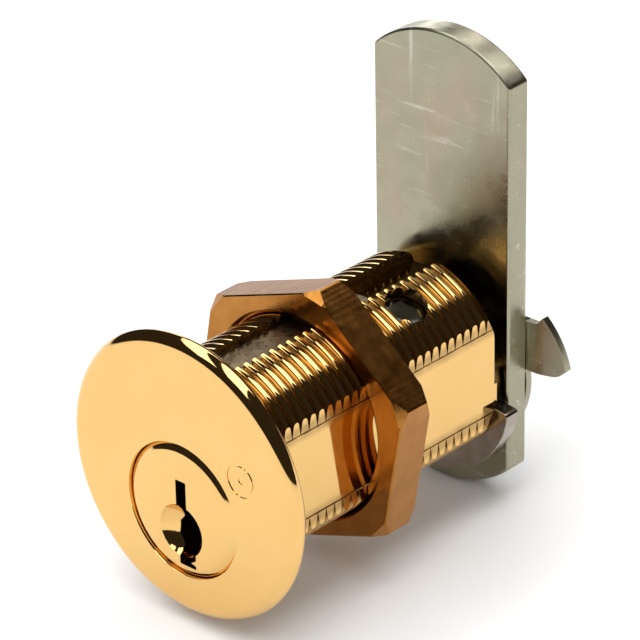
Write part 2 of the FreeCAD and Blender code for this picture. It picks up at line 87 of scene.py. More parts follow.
HEAD_FRONT = span("barrel", 1)[0]
HEAD_R = span("barrel", 0)[1]
FACE_R = 12.28
RIM_DEPTH, RIM_CURVE = 0.85, 1.3
BACK_R, BACK_CURVE = 12.85, 0.9
CREST = 9.525
PITCH = 1.0583
DEPTH = 0.74
THREAD_FROM = 0.415  # the crest where the thread starts, on the right
THREAD_TURNS = 31
RUN_IN = 0.3         # the part of a turn over which the thread rises to its full depth
BARREL_END = 30.75
REAR_R = 8.5
NECK = 2.9
FLAT = 7.7           # from the barrel's axis to each side flat
CHANNEL_HALF = 1.85
CHANNEL_FLOOR = 7.9
RUNNING = 0.04
AXIS = -3.08         # height of the plug's axis
AXIS_AT = (0.0, AXIS)
FACE = span("plug", 1)[0]
COLLAR_R = 6.35
COLLAR_END = -0.4
PLUG_R = 5.1
PLUG_END = 30.8
KEYWAY_DEPTH = 24.6
TAIL_R, TAIL_FLAT, TAIL_LENGTH, TAIL_FIT = 4.0, 3.1, 4.15, 0.03
PIN_FIRST, PIN_SPACING, PINS = 3.7, 3.81, 5
CHAMBER_R, PIN_R = 1.48, 1.44
KEEPER_Y, KEEPER_ANGLE = 23.1, math.radians(70.7)
KEEPER_TIP, KEEPER_TOP, KEEPER_R, KEEPER_HEAD_R = 4.6, 11.5, 1.5, 1.95
KEEPER_HOLE_R, KEEPER_SINK, KEEPER_SINK_R = 1.55, 10.25, 2.0
WASHER_THICK = 0.75
CENTRE = (0.0, 0.0)  # the barrel's axis
OUTSIDE = 12         # beyond every piece that a tool is cut from


# ---------- mesh helpers ----------

def new_piece(name, vertices, faces):
    mesh = bpy.data.meshes.new(name)
    mesh.from_pydata(vertices, [], faces)
    piece = bpy.data.objects.new(name, mesh)
    bpy.context.scene.collection.objects.link(piece)
    edit = bmesh.new()
    edit.from_mesh(mesh)
    bmesh.ops.recalc_face_normals(edit, faces=edit.faces)
    edit.to_mesh(mesh)
    edit.free()
    return piece


def soften(points, radius, closed=True, steps=4):
    """The outline with its corners rounded by about the radius: one number, or one for each corner."""
    count = len(points)
    made = []
    for i, point in enumerate(points):
        size = radius[i] if isinstance(radius, (list, tuple)) else radius
        if size <= 0 or (not closed and i in (0, count - 1)):
            made.append(point)
            continue
        here = Vector(point)
        before = Vector(points[i - 1]) - here
        after = Vector(points[(i + 1) % count]) - here
        reach = min(size, 0.45 * before.length, 0.45 * after.length)
        start = here + before.normalized() * reach
        end = here + after.normalized() * reach
        for k in range(steps + 1):
            t = k / steps
            made.append(tuple(start * (1 - t) ** 2 + here * (2 * t * (1 - t)) + end * t ** 2))
    return made


def arc(radius, start, end, steps, centre=CENTRE):
    """Points of an arc in the plane across Y; angles in degrees from +X towards +Z."""
    made = []
    for k in range(steps + 1):
        angle = math.radians(start + (end - start) * k / steps)
        made.append((centre[0] + radius * math.cos(angle), centre[1] + radius * math.sin(angle)))
    return made


def bowed(start, end, radius, steps=12):
    """Points of the arc from start to end that bows out to the left of the way between them."""
    start, end = Vector(start), Vector(end)
    way = end - start
    aside = Vector((-way.y, way.x)).normalized()
    centre = (start + end) / 2 - aside * math.sqrt(radius ** 2 - way.length_squared / 4)
    first, last = start - centre, end - centre
    turn = first.angle_signed(last)
    made = []
    for k in range(steps + 1):
        angle = -turn * k / steps
        cos, sin = math.cos(angle), math.sin(angle)
        made.append((centre.x + first.x * cos - first.y * sin, centre.y + first.x * sin + first.y * cos))
    return made


def circles(rings, steps, centre=CENTRE):
    """Vertices of rings (y, radius) about the line along Y through centre."""
    made = []
    for y, radius in rings:
        for j in range(steps):
            angle = math.tau * j / steps
            made.append((centre[0] + radius * math.cos(angle), y, centre[1] + radius * math.sin(angle)))
    return made


def bands(first, count, steps):
    """Faces between that many rings of vertices, which start at the vertex first."""
    made = []
    for ring in range(count - 1):
        low, high = first + ring * steps, first + (ring + 1) * steps
        for j in range(steps):
            following = (j + 1) % steps
            made.append((low + j, high + j, high + following, low + following))
    return made


def turned(name, profile, centre=AXIS_AT, steps=ROUND):
    """A solid turned about the line along Y through centre; the profile is (y, radius), from pole to pole."""
    rings = profile[1:-1]
    vertices = [(centre[0], profile[0][0], centre[1]), *circles(rings, steps, centre),
                (centre[0], profile[-1][0], centre[1])]
    faces = []
    last = len(vertices) - 1
    for j in range(steps):
        following = (j + 1) % steps
        faces.append((0, 1 + j, 1 + following))
        for ring in range(len(rings) - 1):
            low, high = 1 + ring * steps, 1 + (ring + 1) * steps
            faces.append((low + j, high + j, high + following, low + following))
        top = 1 + (len(rings) - 1) * steps
        faces.append((last, top + following, top + j))
    return new_piece(name, vertices, faces)


def prism(name, outline, low, high):
    """A solid with a straight outline, points (x, z), from y = low to y = high."""
    count = len(outline)
    vertices = [(x, low, z) for x, z in outline] + [(x, high, z) for x, z in outline]
    faces = [tuple(range(count)), tuple(range(2 * count - 1, count - 1, -1))]
    faces += [(i, (i + 1) % count, count + (i + 1) % count, count + i) for i in range(count)]
    return new_piece(name, vertices, faces)


def box(name, low, high):
    (x0, y0, z0), (x1, y1, z1) = low, high
    return prism(name, [(x0, z0), (x1, z0), (x1, z1), (x0, z1)], y0, y1)


TOOTH = [  # one pitch of a thread with domed crests: share of the pitch, share of the depth
    (-0.28, 0.150), (-0.22, 0.070), (-0.16, 0.030), (-0.10, 0.010), (-0.04, 0.001), (0.04, 0.001),
    (0.10, 0.010), (0.16, 0.030), (0.22, 0.070), (0.28, 0.150), (0.47, 0.960), (0.49, 0.995), (0.51, 0.995),
    (0.53, 0.960),
]


def threaded(name, front, start, end, crest, depth, back, steps=ROUND):
    """A rod along Y with a helical thread from start to end. front is its profile (y, radius) from the pole
    to the thread, back the profile from the thread to the other pole."""
    lead, close = 0.35 * PITCH, 0.6 * PITCH
    rings = [*front[1:], (start - lead, crest)]
    vertices = [(0.0, front[0][0], 0.0), *circles(rings, steps)]
    faces = [(0, 1 + j, 1 + (j + 1) % steps) for j in range(steps)]
    faces += bands(1, len(rings), steps)
    turns = round((end - start) / PITCH)
    helix = len(vertices)
    rows = len(TOOTH)
    for n in range(turns * steps + 1):
        angle = math.tau * n / steps
        fade = min(1.0, n / (RUN_IN * steps), (turns * steps - n) / (RUN_IN * steps))
        for along, deep in TOOTH:
            radius = crest - depth * deep * fade
            y = start + PITCH * (n / steps + along)
            vertices.append((radius * math.cos(angle), y, radius * math.sin(angle)))

    def at(n, row):
        return helix + n * rows + row

    for n in range(turns * steps):
        for row in range(rows - 1):
            faces.append((at(n, row), at(n, row + 1), at(n + 1, row + 1), at(n + 1, row)))
        if n < (turns - 1) * steps:
            faces.append((at(n, rows - 1), at(n + steps, 0), at(n + steps + 1, 0), at(n + 1, rows - 1)))
    low = 1 + (len(rings) - 1) * steps
    for j in range(steps - 1):
        faces.append((low + j, at(j, 0), at(j + 1, 0), low + j + 1))
    step_up = [at(0, row) for row in range(rows)]
    faces.append((low + steps - 1, at(steps - 1, 0), at(steps, 0), *reversed(step_up), low))

    tail = len(vertices)
    closing = [(end + close, crest), *back[:-1]]
    vertices += [*circles(closing, steps), (0.0, back[-1][0], 0.0)]
    first = (turns - 1) * steps
    for j in range(steps - 1):
        faces.append((at(first + j, rows - 1), tail + j, tail + j + 1, at(first + j + 1, rows - 1)))
    step_down = [at(first + steps, row) for row in range(rows)]
    faces.append((at(first + steps - 1, rows - 1), tail + steps - 1, tail, at(first, rows - 1), *step_down))
    faces += bands(tail, len(closing), steps)
    top = tail + (len(closing) - 1) * steps
    for j in range(steps):
        faces.append((len(vertices) - 1, top + (j + 1) % steps, top + j))
    return new_piece(name, vertices, faces)


def settle(piece):
    """Turns the piece's modifiers into its own mesh."""
    graph = bpy.context.evaluated_depsgraph_get()
    made = bpy.data.meshes.new_from_object(piece.evaluated_get(graph))
    piece.modifiers.clear()
    piece.data = made


def combine(piece, tool, operation="DIFFERENCE"):
    """Cuts, joins or intersects the piece with the tool, which is used up."""
    change = piece.modifiers.new("change", "BOOLEAN")
    change.operation = operation
    change.solver = "MANIFOLD"
    change.object = tool
    settle(piece)
    bpy.data.objects.remove(tool)
    return piece


def round_edges(piece, width, steps=3, limit=40):
    bevel = piece.modifiers.new("edges", "BEVEL")
    bevel.width = width
    bevel.segments = steps
    bevel.limit_method = "ANGLE"
    bevel.angle_limit = math.radians(limit)
    bevel.use_clamp_overlap = True
    settle(piece)
    return piece


def place(piece, matrix):
    piece.data.transform(matrix)
    return piece


def finished(piece, body, node, material, sharp=SHARP):
    """Scales a piece to metres, sets its shading and its material, and lets it stand for its CAD node."""
    mesh = piece.data
    edit = bmesh.new()
    edit.from_mesh(mesh)
    bmesh.ops.remove_doubles(edit, verts=edit.verts, dist=2e-5)
    bmesh.ops.dissolve_degenerate(edit, edges=edit.edges, dist=2e-5)
    bmesh.ops.recalc_face_normals(edit, faces=edit.faces)
    for edge in edit.edges:
        edge.smooth = edge.is_manifold and edge.calc_face_angle(0.0) < sharp
    for face in edit.faces:
        face.smooth = True
    edit.to_mesh(mesh)
    edit.free()
    mesh.transform(Matrix.Scale(MM, 4))
    weighted = piece.modifiers.new("shading", "WEIGHTED_NORMAL")
    weighted.keep_sharp = True
    mesh.materials.clear()
    mesh.materials.append(material)
    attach(piece, body)
    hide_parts(node)
    return piece


# ---------- materials ----------

class Nodes:
    """A short way to write a node material."""

    def __init__(self, name):
        self.material = bpy.data.materials.new(name)
        self.material.use_nodes = True
        self.tree = self.material.node_tree
        self.shader = self.tree.nodes["Principled BSDF"]
        self.where = self.add("ShaderNodeTexCoord").outputs["Object"]

    def add(self, kind, **settings):
        node = self.tree.nodes.new(kind)
        for field, value in settings.items():
            setattr(node, field, value)
        return node

    def link(self, source, target):
        self.tree.links.new(source, target)

    def noise(self, scale, detail=3.0, roughness=0.55, stretch=(1, 1, 1)):
        """Noise with features about 1/scale metres in size."""
        mapping = self.add("ShaderNodeMapping")
        mapping.inputs["Scale"].default_value = stretch
        self.link(self.where, mapping.inputs["Vector"])
        node = self.add("ShaderNodeTexNoise")
        node.inputs["Scale"].default_value = scale
        node.inputs["Detail"].default_value = detail
        node.inputs["Roughness"].default_value = roughness
        self.link(mapping.outputs["Vector"], node.inputs["Vector"])
        return node.outputs["Fac"]

    def ramp(self, source, stops):
        """Maps a value through (place, grey or colour) stops."""
        node = self.add("ShaderNodeValToRGB")
        elements = node.color_ramp.elements
        while len(elements) < len(stops):
            elements.new(0.5)
        for element, (position, colour) in zip(elements, stops):
            element.position = position
            element.color = (*colour, 1) if isinstance(colour, tuple) else (colour, colour, colour, 1)
        self.link(source, node.inputs["Fac"])
        return node.outputs["Color"]

    def mix(self, factor, one, two):
        node = self.add("ShaderNodeMix", data_type="RGBA")
        for socket, value in ((node.inputs[0], factor), (node.inputs[6], one), (node.inputs[7], two)):
            if hasattr(value, "is_output"):
                self.link(value, socket)
            else:
                socket.default_value = (*value, 1) if isinstance(value, tuple) else value
        return node.outputs[2]

    def sum(self, operation, one, two):
        node = self.add("ShaderNodeMath", operation=operation)
        for socket, value in zip(node.inputs, (one, two)):
            if hasattr(value, "is_output"):
                self.link(value, socket)
            else:
                socket.default_value = value
        return node.outputs[0]

    def radius(self, height):
        """Distance from the line along Y at that height, in metres."""
        parts = self.add("ShaderNodeSeparateXYZ")
        self.link(self.where, parts.inputs[0])
        up = self.sum("SUBTRACT", parts.outputs["Z"], height)
        square = self.sum("ADD", self.sum("MULTIPLY", parts.outputs["X"], parts.outputs["X"]),
                          self.sum("MULTIPLY", up, up))
        return self.sum("SQRT", square, 0.0)

    def rings(self, height, rate):
        """Turning marks about the line along Y at that height; rate is in radians to the metre."""
        return self.sum("SINE", self.sum("MULTIPLY", self.radius(height), rate), 0.0)

    def coordinate(self, axis):
        parts = self.add("ShaderNodeSeparateXYZ")
        self.link(self.where, parts.inputs[0])
        return parts.outputs[axis]

    def between(self, value, low, high):
        """0 at low, 1 at high, straight between."""
        node = self.add("ShaderNodeMapRange")
        node.inputs["From Min"].default_value = low
        node.inputs["From Max"].default_value = high
        self.link(value, node.inputs["Value"])
        return node.outputs["Result"]

    def bump(self, height, strength, distance, before=None):
        node = self.add("ShaderNodeBump")
        node.inputs["Strength"].default_value = strength
        node.inputs["Distance"].default_value = distance
        self.link(height, node.inputs["Height"])
        if before is not None:
            self.link(before, node.inputs["Normal"])
        return node.outputs["Normal"]

    def finish(self, colour, roughness, normal, metallic=1.0):
        self.link(colour, self.shader.inputs["Base Color"])
        self.link(roughness, self.shader.inputs["Roughness"])
        self.link(normal, self.shader.inputs["Normal"])
        self.shader.inputs["Metallic"].default_value = metallic
        return self.material


GOLD = (0.80, 0.525, 0.205)
GOLD_DEEP = (0.76, 0.46, 0.155)
# tarnish together with painted shade, for the roots of the thread
TARNISH_AND_SHADE = (0.060, 0.024, 0.008)


def polished_brass():
    """Polished and lacquered brass, with tarnish and painted shade darkening the roots of the thread."""
    m = Nodes("polished_brass")
    tone = m.mix(m.ramp(m.noise(260, 4), [(0.3, 0.2), (0.8, 0.7)]), GOLD, GOLD_DEEP)
    # tarnish and painted shade only below the crests, behind the head, off the end face and the flats, and
    # outside the channel
    root = m.between(m.radius(0.0), (CREST - 0.16) * MM, (CREST - 0.45) * MM)
    behind = m.between(m.coordinate("Y"), 0.4 * MM, 0.9 * MM)
    before_end = m.between(m.coordinate("Y"), (BARREL_END - 0.1) * MM, (BARREL_END - 0.3) * MM)
    dirt_and_shade = m.sum("MULTIPLY", m.sum("MULTIPLY", root, behind), before_end)
    flat = m.between(m.sum("ABSOLUTE", m.coordinate("X"), 0.0), (FLAT + 0.03) * MM, (FLAT - 0.03) * MM)
    thread = m.between(m.radius(0.0), (CHANNEL_FLOOR + 0.5) * MM, (CHANNEL_FLOOR + 0.8) * MM)
    dirt_and_shade = m.sum("MULTIPLY", m.sum("MULTIPLY", dirt_and_shade, flat), thread)
    dirt_and_shade = m.sum("MULTIPLY", dirt_and_shade, m.ramp(m.noise(900, 3), [(0.3, 0.55), (0.7, 1.0)]))
    colour = m.mix(dirt_and_shade, tone, TARNISH_AND_SHADE)
    haze = m.ramp(m.noise(700, 5, 0.65), [(0.35, 0.035), (0.75, 0.085)])
    roughness = m.mix(dirt_and_shade, haze, (0.4, 0.4, 0.4))
    wipe = m.noise(1500, 2, 0.6, (1, 0.08, 0.3))
    normal = m.bump(m.noise(180, 2), 0.10, 0.00004)
    normal = m.bump(wipe, 0.03, 0.00001, normal)
    return m.finish(colour, roughness, normal)


def plug_brass():
    """The plug's brass, turned and polished, with painted shade darkening it down in the keyway."""
    m = Nodes("plug_brass")
    tone = m.mix(m.ramp(m.noise(300, 4), [(0.3, 0.2), (0.8, 0.7)]), GOLD, GOLD_DEEP)
    # painted shade: the brass darkens from just behind the face inwards, down in the keyway
    deep = m.between(m.coordinate("Y"), (FACE + 0.9) * MM, (FACE + 4.0) * MM)
    colour = m.mix(deep, tone, (0.36, 0.19, 0.06))
    roughness = m.mix(deep, m.ramp(m.noise(800, 5, 0.65), [(0.35, 0.05), (0.75, 0.11)]), (0.35, 0.35, 0.35))
    normal = m.bump(m.noise(200, 2), 0.10, 0.00004)
    normal = m.bump(m.rings(AXIS * MM, 42000.0), 0.02, 0.00001, normal)
    return m.finish(colour, roughness, normal)


def raw_brass():
    """Unpolished brass bar with turning marks on its faces and a brown film of tarnish."""
    m = Nodes("raw_brass")
    patches = m.ramp(m.noise(330, 6, 0.65), [(0.32, 0.0), (0.68, 1.0)])
    tone = m.mix(patches, (0.43, 0.19, 0.042), (0.32, 0.13, 0.026))
    specks = m.ramp(m.noise(2600, 3), [(0.64, 0.0), (0.74, 0.4)])
    colour = m.mix(specks, tone, (0.22, 0.11, 0.04))
    roughness = m.ramp(m.noise(900, 5, 0.7), [(0.3, 0.15), (0.75, 0.26)])
    normal = m.bump(m.noise(1400, 4), 0.12, 0.00003)
    normal = m.bump(m.rings(0.0, 30000.0), 0.05, 0.00002, normal)
    normal = m.bump(m.noise(420, 2, 0.5, (1, 0.1, 1)), 0.15, 0.00004, normal)
    return m.finish(colour, roughness, normal)


def pin_brass(name, bright=(0.62, 0.40, 0.15), dull=(0.36, 0.21, 0.08)):
    m = Nodes(name)
    colour = m.mix(m.ramp(m.noise(900, 4), [(0.35, 0.0), (0.7, 1.0)]), bright, dull)
    roughness = m.ramp(m.noise(1800, 4), [(0.3, 0.22), (0.7, 0.4)])
    normal = m.bump(m.noise(6000, 2, 0.5, (0.1, 0.1, 1)), 0.15, 0.00001)
    return m.finish(colour, roughness, normal)


def plated_steel():
    """Stamped steel, zinc plated and passivated: a faint pink and green film, scratches and pits."""
    m = Nodes("plated_steel")
    film = m.ramp(m.noise(120, 5, 0.6, (1, 1, 0.5)),
                  [(0.30, (0.32, 0.33, 0.23)), (0.50, (0.35, 0.33, 0.24)), (0.72, (0.40, 0.32, 0.24))])
    pits = m.ramp(m.noise(3200, 2, 0.4), [(0.73, 0.0), (0.78, 1.0)])
    colour = m.mix(pits, film, (0.20, 0.17, 0.15))
    streaks = m.noise(900, 4, 0.6, (1, 1, 0.06))
    across = m.noise(1100, 4, 0.6, (0.08, 1, 1))
    marks = m.ramp(m.sum("MAXIMUM", streaks, across), [(0.62, 0.0), (0.72, 1.0)])
    colour = m.mix(m.sum("MULTIPLY", marks, 0.35), colour, (0.80, 0.78, 0.72))
    # the cut edges and the upper part are duller than the rest
    side = m.between(m.sum("ABSOLUTE", m.coordinate("X"), 0.0), 7.78 * MM, 7.86 * MM)
    matt = m.sum("MAXIMUM", side, m.between(m.coordinate("Z"), 6 * MM, 14 * MM))
    roughness = m.mix(matt, m.ramp(m.noise(500, 4), [(0.3, 0.10), (0.7, 0.20)]),
                      m.ramp(m.noise(500, 4), [(0.3, 0.24), (0.7, 0.38)]))
    normal = m.bump(streaks, 0.10, 0.00003)
    normal = m.bump(pits, -0.35, 0.00004, normal)
    normal = m.bump(m.noise(260, 3), 0.22, 0.00012, normal)
    return m.finish(colour, roughness, normal)


def dark_steel(name, bright=(0.44, 0.38, 0.33), dull=(0.30, 0.26, 0.22), rough=(0.16, 0.30)):
    m = Nodes(name)
    colour = m.mix(m.ramp(m.noise(500, 5), [(0.35, 0.0), (0.7, 1.0)]), bright, dull)
    roughness = m.ramp(m.noise(900, 4), [(0.3, rough[0]), (0.75, rough[1])])
    normal = m.bump(m.noise(1600, 4), 0.2, 0.00003)
    normal = m.bump(m.noise(2400, 3, 0.6, (0.06, 1, 1)), 0.08, 0.00002, normal)
    return m.finish(colour, roughness, normal)


MATERIALS = {
    "polished_brass": polished_brass(),
    "plug_brass": plug_brass(),
    "raw_brass": raw_brass(),
    "pin_brass": pin_brass("pin_brass"),
    "plated_steel": plated_steel(),
    "dark_steel": dark_steel("dark_steel"),
    "dark_brass": pin_brass("dark_brass", (0.50, 0.38, 0.22), (0.28, 0.20, 0.12)),
    "pin_steel": dark_steel("pin_steel", (0.09, 0.09, 0.08), (0.05, 0.05, 0.04), (0.14, 0.24)),
    "screw_steel": dark_steel("screw_steel", (0.30, 0.29, 0.26), (0.18, 0.17, 0.16)),
    "spring_steel": dark_steel("spring_steel", (0.60, 0.60, 0.60), (0.42, 0.42, 0.42)),
}


# ---------- barrel ----------

def barrel():
    rim = bowed((HEAD_FRONT, FACE_R), (HEAD_FRONT + RIM_DEPTH, HEAD_R), RIM_CURVE)
    back = bowed((HEAD_FRONT + RIM_DEPTH, HEAD_R), (0.0, BACK_R), BACK_CURVE)
    front = [(HEAD_FRONT, 0.0), (HEAD_FRONT, FACE_R - 0.05), (HEAD_FRONT + 0.02, FACE_R + 0.05), *rim[1:],
             *back[1:], (0.0, CREST)]
    end, rear, wide, chamfer = BARREL_END, BARREL_END + 5, 20, 4
    piece = threaded("barrel_body", front, THREAD_FROM, THREAD_FROM + THREAD_TURNS * PITCH, CREST, DEPTH,
                     [(rear, CREST), (rear, 0.0)])
    keep = turned("keep", soften([
        (-9, 0.0), (-9, wide), (end - chamfer, wide), (end - chamfer, REAR_R + chamfer), (end, REAR_R),
        (end, 0.0),
    ], [0, 0, 0, 0, 0.25, 0], closed=False), CENTRE)
    combine(piece, keep, "INTERSECT")
    line_height, line_half, line_depth = 4.21, 0.15, 0.12
    for side in (1, -1):
        low, high = sorted((side * FLAT, side * (CREST + 1)))
        combine(piece, box("flat", (low, NECK, -OUTSIDE), (high, end + 1, OUTSIDE)))
        for up in (1, -1):
            line = prism("line", [(side * (FLAT + 0.1), up * (line_height - line_half)),
                                  (side * (FLAT + 0.1), up * (line_height + line_half)),
                                  (side * (FLAT - line_depth), up * line_height)], NECK + 0.15, end + 1)
            combine(piece, line)
    combine(piece, box("channel", (-CHANNEL_HALF, 0.15, CHANNEL_FLOOR), (CHANNEL_HALF, end + 1, OUTSIDE)))
    combine(piece, turned("bore", soften([
        (HEAD_FRONT - 1, 0.0), (HEAD_FRONT - 1, COLLAR_R + RUNNING + 1.04),
        (HEAD_FRONT + 0.04, COLLAR_R + RUNNING), (COLLAR_END + RUNNING, COLLAR_R + RUNNING),
        (COLLAR_END + RUNNING, PLUG_R + RUNNING), (end + 1, PLUG_R + RUNNING), (end + 1, 0.0),
    ], [0, 0, 0.15, 0, 0, 0, 0], closed=False)))
    drill(piece, AXIS + 0.1, CHANNEL_FLOOR + 0.1)
    hole = turned("hole", [
        (4, 0.0), (4, KEEPER_HOLE_R), (KEEPER_SINK, KEEPER_HOLE_R), (KEEPER_SINK, KEEPER_SINK_R),
        (14, KEEPER_SINK_R), (14, 0.0),
    ], CENTRE, FINE_ROUND)
    combine(piece, place(hole, keeper_matrix()))
    lug = box("lug", (6.5, end - 0.5, AXIS - 0.75), (7.6, end + 0.6, AXIS + 1.65))
    combine(piece, round_edges(lug, 0.15), "UNION")
    mark(piece)
    return finished(piece, "housing", "barrel", MATERIALS["polished_brass"])


def upright(name, profile, number, steps=FINE_ROUND):
    """A solid turned about the pin line of that number; the profile is (z, radius), from pole to pole."""
    piece = turned(name, profile, CENTRE, steps)
    at = Matrix.Translation((0, PIN_FIRST + number * PIN_SPACING, 0))
    return place(piece, at @ Matrix.Rotation(math.radians(90), 4, "X"))


def drill(piece, low, high):
    """Drills the row of pin chambers from one height to another."""
    chamber = [(low, 0.0), (low, CHAMBER_R), (high, CHAMBER_R), (high, 0.0)]
    for number in range(PINS):
        combine(piece, upright("chamber", chamber, number))


def keeper_matrix():
    """From a solid turned about Y to one lying along the retaining pin, out from the plug's axis."""
    across, out = math.cos(KEEPER_ANGLE), math.sin(KEEPER_ANGLE)
    turn = Matrix(((0, across, out), (1, 0, 0), (0, out, -across))).to_4x4()
    return Matrix.Translation((0, KEEPER_Y, AXIS)) @ turn


def mark(piece):
    """A generic stamp beside the plug: a shallow ring with a dot in it."""
    centre, radius, half, deep = (7.1, 2.5), 1.45, 0.13, 0.07
    above, below, outer, inner = HEAD_FRONT - 1, HEAD_FRONT + deep, radius + half, radius - half
    ring = turned("ring", [(above, 0.0), (above, outer), (below, outer), (below, 0.0)], centre, FINE_ROUND)
    combine(ring, turned("core", [(HEAD_FRONT - 2, 0.0), (HEAD_FRONT - 2, inner), (HEAD_FRONT + 1, inner),
                                  (HEAD_FRONT + 1, 0.0)], centre, FINE_ROUND))
    combine(piece, ring)
    dot = [(above, 0.0), (above, 0.4), (below, 0.3), (below, 0.0)]
    combine(piece, turned("dot", dot, centre, FINE_ROUND))


def chamber_cover():
    half, low, high, cut, thick = CHANNEL_HALF - 0.02, 2.2, 21.8, 0.6, 0.55
    outline = [(-half, low + cut), (cut - half, low), (half - cut, low), (half, low + cut),
               (half, high - cut), (half - cut, high), (cut - half, high), (-half, high - cut)]
    piece = prism("chamber_strip", outline, -CHANNEL_FLOOR - thick, -CHANNEL_FLOOR)
    place(piece, Matrix.Rotation(math.radians(-90), 4, "X"))
    round_edges(piece, 0.08)
    return finished(piece, "housing", "chamber_cover", MATERIALS["dark_brass"])


def retaining_pin():
    tip, top, radius, head = KEEPER_TIP, KEEPER_TOP, KEEPER_R, KEEPER_HEAD_R
    piece = turned("locking_pin", soften([
        (tip, 0.0), (tip, radius - 0.4), (tip + 0.9, radius - 0.4), (tip + 1.3, radius), (top - 1.2, radius),
        (top - 1.2, head), (top - 0.2, head), (top, head - 0.6), (top, 0.0),
    ], [0, 0.1, 0, 0, 0, 0, 0.2, 0.5, 0], closed=False), CENTRE, FINE_ROUND)
    place(piece, keeper_matrix())
    return finished(piece, "housing", "retaining_pin", MATERIALS["pin_steel"])


# ---------- plug and what turns with it ----------

def double_d(name, radius, flat, low, high):
    """A round bar along the plug's axis with two flats, left and right."""
    reach = math.degrees(math.acos(flat / radius))
    right = arc(radius, reach, 180 - reach, 24, AXIS_AT)
    left = arc(radius, 180 + reach, 360 - reach, 24, AXIS_AT)
    return prism(name, right + left, low, high)


def plug():
    groove_low, groove_high, groove_r = KEEPER_Y - 1.65, KEEPER_Y + 1.65, 4.5
    end = PLUG_END + TAIL_LENGTH
    piece = turned("plug_body", soften([
        (FACE, 0.0), (FACE, COLLAR_R - 0.7), (FACE + 0.45, COLLAR_R), (COLLAR_END, COLLAR_R),
        (COLLAR_END, PLUG_R), (groove_low, PLUG_R), (groove_low, groove_r), (groove_high, groove_r),
        (groove_high, PLUG_R), (PLUG_END, PLUG_R), (PLUG_END, TAIL_R), (end - 0.3, TAIL_R),
        (end, TAIL_R - 0.3), (end, 0.0),
    ], [0, 0.22, 0.15] + [0.0] * 9 + [0.1, 0], closed=False))
    combine(piece, prism("keyway", soften([(x, z + AXIS) for x, z in [
        (-0.6, 2.95), (-0.6, -1.1), (-1.15, -1.75), (-1.15, -2.9), (-0.35, -3.7), (-0.35, -5.3), (1.55, -5.3),
        (1.55, -4.95), (0.95, -4.8), (1.55, -4.45), (1.55, -2.2), (0.6, -1.3), (0.6, 2.95),
    ]], 0.12, steps=3), FACE - 1, FACE + KEYWAY_DEPTH))
    ball_r, ball_y, steps = 3.2, FACE - 2.0, 64
    ball = [(ball_y - ball_r * math.cos(math.pi * k / steps), ball_r * math.sin(math.pi * k / steps))
            for k in range(steps + 1)]
    combine(piece, turned("dimple", ball, (-0.1, AXIS - 2.0)))
    drill(piece, AXIS, AXIS + PLUG_R + 1)
    past = 6
    for side in (1, -1):
        low, high = sorted((side * TAIL_FLAT, side * past))
        combine(piece, box("tail_flat", (low, PLUG_END, AXIS - past), (high, end + 1, AXIS + past)))
    tap, mouth = 2.1, 2.7
    combine(piece, turned("tapping", [(end - 9.2, 0.0), (end - 8, tap), (end - 0.4, tap), (end + 0.2, mouth),
                                      (end + 0.2, 0.0)], AXIS_AT, FINE_ROUND))
    return finished(piece, "rotor", "plug", MATERIALS["plug_brass"])


def on_circle(radius, angle):
    """A point round the plug's axis."""
    turn = math.radians(angle)
    return AXIS_AT[0] + radius * math.cos(turn), AXIS_AT[1] + radius * math.sin(turn)


def stop_washer():
    low, high = PLUG_END, span("cam", 1)[0]
    radius, notch, notch_start, notch_end = 9.3, 6.3, -7.0, 104.6
    rim_gap, notch_gap = 7, 4  # degrees left for the rounding of the notch's corners
    rim = arc(radius, notch_end + rim_gap, 360 - rim_gap + notch_start, 150, AXIS_AT)
    inside = arc(notch, notch_start + notch_gap, notch_end - notch_gap, 60, AXIS_AT)
    first = [on_circle(radius, notch_start), on_circle(notch, notch_start)]
    last = [on_circle(notch, notch_end), on_circle(radius, notch_end)]
    corners = [0.0] * len(rim) + [0.6, 0.3] + [0.0] * len(inside) + [0.3, 0.6]
    piece = prism("stop_plate", soften(rim + first + inside + last, corners), low, high)
    combine(piece, double_d("hole", TAIL_R + TAIL_FIT, TAIL_FLAT + TAIL_FIT, low - 1, high + 1))
    round_edges(piece, 0.12)
    return finished(piece, "rotor", "stop_washer", MATERIALS["dark_steel"])


def cam():
    low, high = span("cam", 1)
    half, foot, tip = 7.9, 11.2, 11.45
    foot_angle = math.degrees(math.asin(half / foot))
    tip_angle = math.degrees(math.asin(half / tip))
    top = span("cam", 2)[1]
    outline = arc(foot, 270 - foot_angle, 270 + foot_angle, 48, AXIS_AT)
    outline += arc(tip, 90 - tip_angle, 90 + tip_angle, 48, (0.0, top - tip))
    piece = prism("cam_blade", outline, low, high)
    round_edges(piece, 0.28, 4, 30)
    combine(piece, double_d("hole", TAIL_R + TAIL_FIT, TAIL_FLAT + TAIL_FIT, low - 1, high + 1))
    return finished(piece, "rotor", "cam", MATERIALS["plated_steel"])


